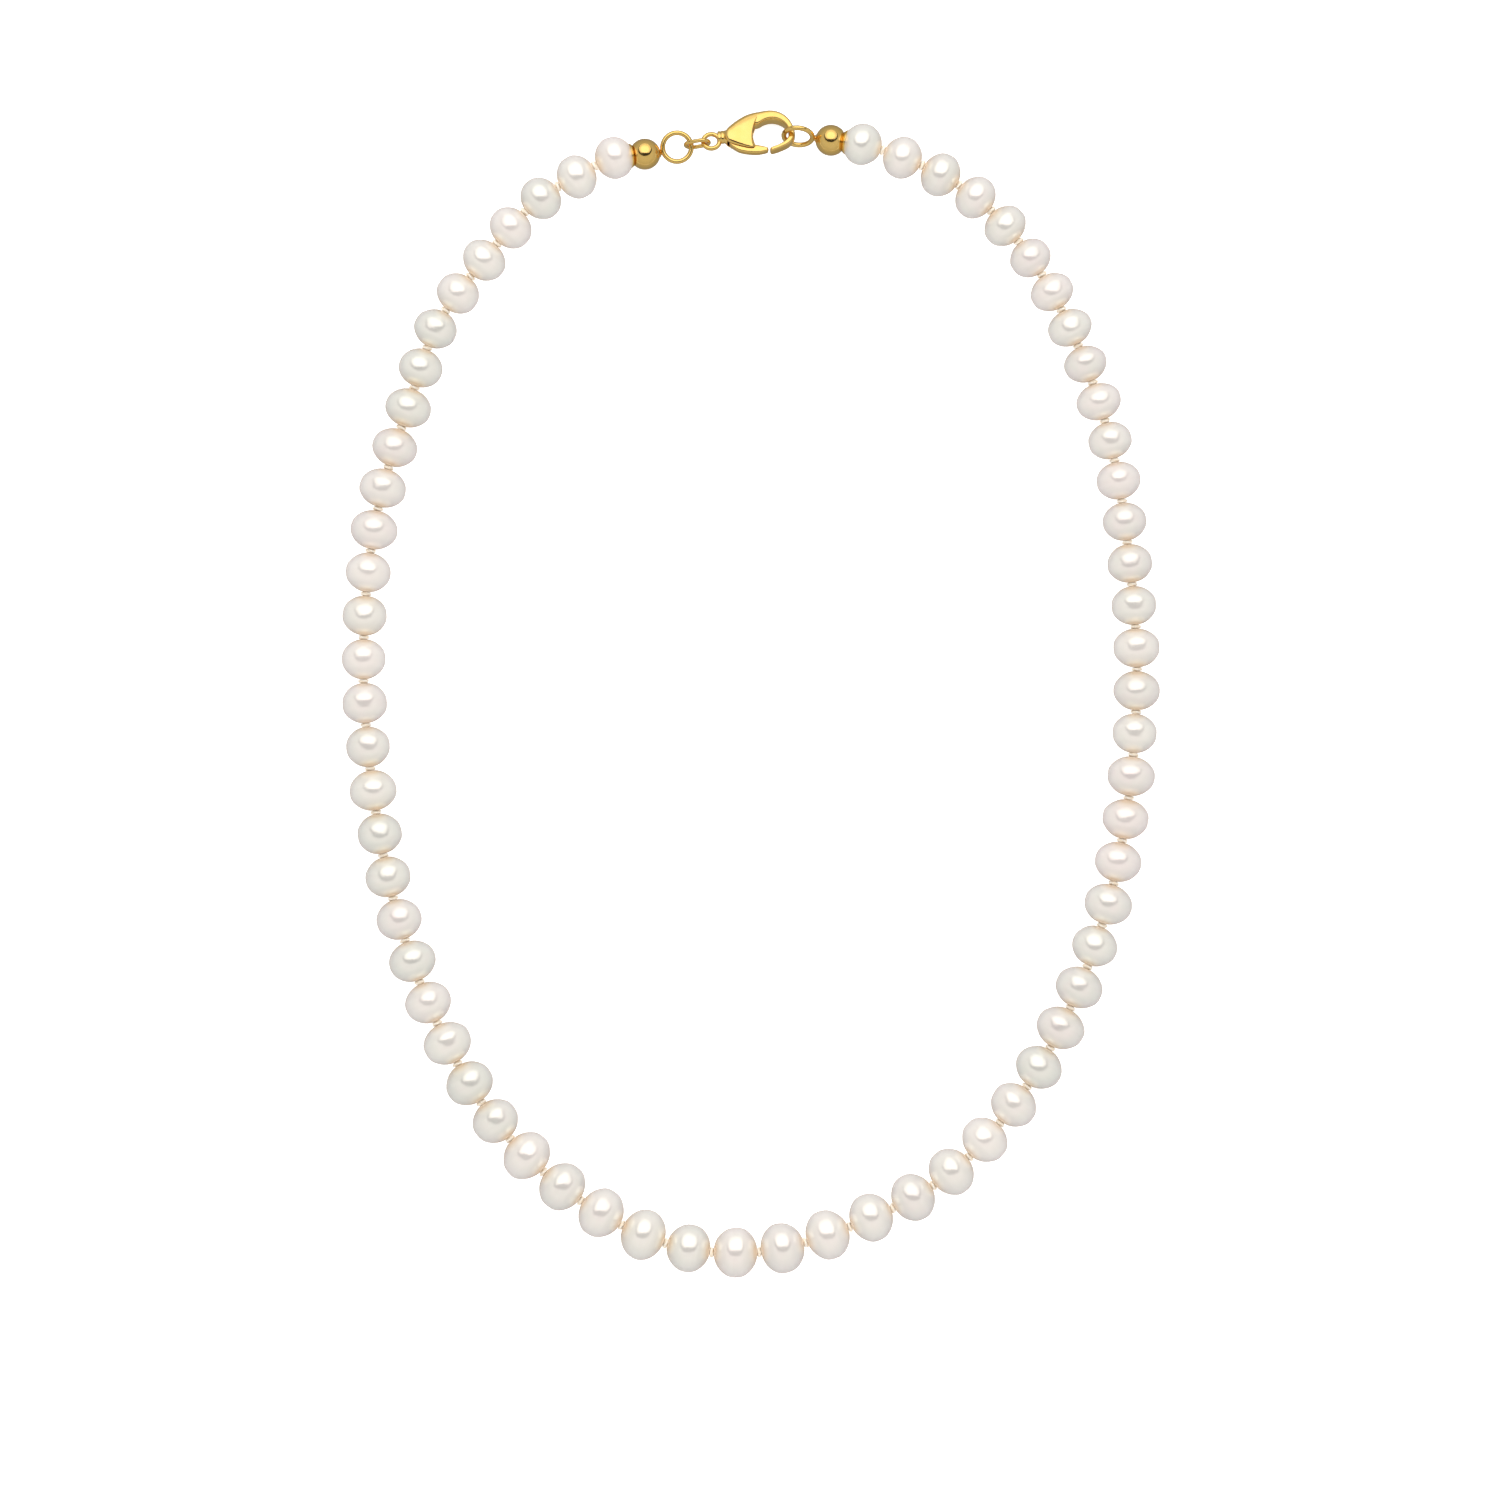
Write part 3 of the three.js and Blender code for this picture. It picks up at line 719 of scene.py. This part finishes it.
# The cheeks run out along the top of the hook, and are hollowed towards its mouth.
CHEEK_TOP = [(-3.75, 0.6), (-3.1, 1.35), (-2.2, 2.2), (-0.7, 3.26), (0.7, 3.78), (1.9, 3.95)]
CHEEK_BOTTOM = [(-3.75, -0.4), (-3.1, -1.08), (-2.3, -1.42), (-1.3, -1.7), (-0.3, -1.95), (0.8, -2.08)]

hook = bar(HOOK_OUTER, HOOK_INNER, HOOK_HALF, HOOK_HALF, squareness=3.4, rounding=0.3, stations=150)
# From the neck to the far end, which sinks into the hook.
cheek_swell = (CLASP_HALF - SLOT_HALF) * np.array([0.7, 1.04, 1.12, 1.04, 0.92, 0.7])
front_cheek = bar(CHEEK_TOP, CHEEK_BOTTOM, cheek_swell, 0.05, squareness=2.2, rounding=0.5,
                  middle=SLOT_HALF, bow=0.8)
back_cheek = bar(CHEEK_TOP, CHEEK_BOTTOM, 0.05, cheek_swell, squareness=2.2, rounding=0.5,
                 middle=-SLOT_HALF, bow=0.8)

eye_ring = carried(ring_path(EYE, X, Y, EYE_RADIUS), EYE_WIRE * DRAWN, 28, closed=True)
# The neck between them widens towards the cheeks, in three ribs.
neck_from, neck_to = -4.75, -3.3
narrow, wide, rib, ribs = 0.7, 0.8, 0.07, 3
neck_walk = np.linspace(0, 1, 60)
neck_radius = narrow + (wide - narrow) * neck_walk + rib * np.abs(np.sin(neck_walk * ribs * np.pi)) ** 0.6
neck_radius[[0, -1]] *= 0.7
neck = turned(np.stack([neck_radius, neck_walk * (neck_to - neck_from)], axis=1),
              np.array([neck_from, 0.05, 0]), np.array([neck_to, 0.12, 0]), 56, squash=1.25)
clasp_shells = [(hook, False), (front_cheek, False), (back_cheek, False), (eye_ring, True), (neck, False)]
gold_piece("clasp_cast", [(leaning(grid), loop) for grid, loop in clasp_shells], "clasp_body")

# The gate, with its bulge below for the fingernail.
GATE_TOP = [(-3, -0.5), (-2.2, -0.15), (-1.2, -0.62), (0.2, -1.2), (1.5, -1.45), (2.82, -1.8)]
GATE_BOTTOM = [(-3, -1.2), (-2.3, -1.9), (-1.4, -2.42), (0.2, -2.72), (1.5, -2.7), (2.82, -2.35)]
gate = bar(GATE_TOP, GATE_BOTTOM, GATE_HALF, GATE_HALF, squareness=4.0, rounding=0.25)
gold_piece("gate_with_nail_bulge", [(leaning(gate), False)], "gate_lever")

# The rivet is headed over at the back, and blind at the front.
rivet = [
    (0.02, 0.0), (0.2, 0.01), (0.33, 0.05), (RIVET_RADIUS - 0.02, 0.12), (RIVET_RADIUS - 0.02, 0.3),
    (RIVET_RADIUS, 0.4), (RIVET_RADIUS, RIVET_LENGTH - 0.08), (RIVET_RADIUS - 0.08, RIVET_LENGTH),
    (0.02, RIVET_LENGTH),
]
rivet_from = GATE_PIVOT - UP * CLASP_HALF
angle = np.linspace(0, 2 * np.pi, 40, endpoint=False)
radius, height = np.array(rivet).T
rivet_grid = rivet_from + np.stack(np.broadcast_arrays(
    radius[:, None] * np.cos(angle), radius[:, None] * np.sin(angle), height[:, None] * np.ones(40)), -1)
gold_piece("rivet_headed", [(leaning(rivet_grid), False)], "gate_rivet")

# A leaf spring, bent back on itself between the spine and the gate.
LEAF = np.array([
    (0.1, 2.1), (-0.7, 1.75), (-1.6, 1.05), (-2.25, 0.42), (-2.1, 0.12), (-1.2, -0.2), (-0.3, -0.6),
])
LEAF_THICKNESS = 0.2
leaf_side = unit(np.gradient(LEAF, axis=0)) @ np.array([[0, 1], [-1, 0]]) * LEAF_THICKNESS / 2
leaf = bar(LEAF + leaf_side, LEAF - leaf_side, 0.5, 0.5, squareness=6.0, rounding=0.05, around=32)
piece = add_piece("spring_leaf", [(leaning(leaf), False)], STEEL, "gate_spring")
# Its lower leg goes with the gate, which bends it at the fold.
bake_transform(piece, "clasp", "gate", start=tuple(leaning(np.array([-1, 0.4, 0])) * MM),
         end=tuple(leaning(np.array([-1, -0.6, 0])) * MM))

# ---- table, light and camera ---------------------------------------------------------------


def board(name, corners, finish):
    """A flat board through four corners, in metres."""
    mesh = bpy.data.meshes.new(name)
    mesh.from_pydata(corners, [], [range(len(corners))])
    mesh.materials.append(finish)
    made = bpy.data.objects.new(name, mesh)
    bpy.context.scene.collection.objects.link(made)
    return made


def from_overhead(tilt, far):
    """A place that far away, at that many degrees from straight up towards +Y."""
    return np.array([0, np.sin(np.radians(tilt)), np.cos(np.radians(tilt))]) * far


def round_softbox(name, tilt, half_angle, far, radiance):
    """A round area light aimed at the necklace, which sees it under that half angle, in degrees."""
    place = from_overhead(tilt, far)
    across = 2 * far * np.tan(np.radians(half_angle))
    lamp = bpy.data.lights.new(name, "AREA")
    lamp.shape = "ELLIPSE"
    lamp.size = lamp.size_y = across
    lamp.energy = radiance * np.pi * across * across * np.pi / 4
    made = bpy.data.objects.new(name, lamp)
    made.location = place
    made.rotation_euler = Vector(place).to_track_quat("Z", "Y").to_euler()
    bpy.context.scene.collection.objects.link(made)
    return made


TABLE_REACH = 2.0
level = packed_box[0][2] - 0.0001  # just under the lowest pearl
table = board("table", [(x * TABLE_REACH, y * TABLE_REACH, level)
                        for x, y in ((-1, -1), (1, -1), (1, 1), (-1, 1))], pale_table())
table.visible_glossy = False

round_softbox("wide_softbox", 41, 41, 1.3, 1.0)
round_softbox("bright_softbox", 37, 28, 1.2, 0.5)
# The fills light the sides, and show in no reflection.
round_softbox("overhead_fill", 0, 38, 1.6, 0.3).visible_glossy = False
round_softbox("front_fill", -60, 35, 1.3, 0.55).visible_glossy = False

# A dark disc behind the softboxes and lower, which shows only in reflections.
back_tilt, back_far, back_half_angle = 33, 1.4, 49
back_radius = back_far * np.tan(np.radians(back_half_angle))
turn = np.linspace(0, 2 * np.pi, 48, endpoint=False)[:, None]
back_along = np.array([0, np.cos(np.radians(back_tilt)), -np.sin(np.radians(back_tilt))])
disc = from_overhead(back_tilt, back_far) + back_radius * (X * np.cos(turn) + back_along * np.sin(turn))
f = material("black_cloth")
backing = board("softbox_backing", disc.tolist(), f.done(
    Base_Color=f.blend(f.noise(30), (0.02, 0.02, 0.02), (0.03, 0.03, 0.03)), Roughness=0.9))
backing.visible_camera = backing.visible_diffuse = backing.visible_shadow = False

# White walls and ceiling, greyer below the table's edge.
f = Finish(bpy.data.worlds.new("studio"))
direction = f.node("ShaderNodeTexCoord", output="Generated")
height = f.node("ShaderNodeSeparateXYZ", {}, {"Vector": direction}, output="Z")
walls = f.node("ShaderNodeValToRGB", {"stops": [(0.15, (0.36, 0.36, 0.36)), (0.8, (0.66, 0.66, 0.66))]},
               {"Fac": height * 0.5 + 0.5})
bpy.context.scene.world = f.end("ShaderNodeOutputWorld", f.node("ShaderNodeBackground", {}, {"Color": walls}))
bpy.context.scene.view_settings.view_transform = "Standard"

FRAME_WIDTH = 0.222  # of the table, seen across the whole picture
CAMERA_HEIGHT = 1.2
SILK_HEIGHT = 0.0033
lens = bpy.data.cameras.new("long_lens")
lens.sensor_width = 36
lens.lens = lens.sensor_width * (CAMERA_HEIGHT - SILK_HEIGHT) / FRAME_WIDTH
lens.clip_start, lens.clip_end = 0.01, 10
camera = bpy.data.objects.new("camera", lens)
camera.location = (-0.00014, -0.00854, CAMERA_HEIGHT)
bpy.context.scene.collection.objects.link(camera)
bpy.context.scene.camera = camera
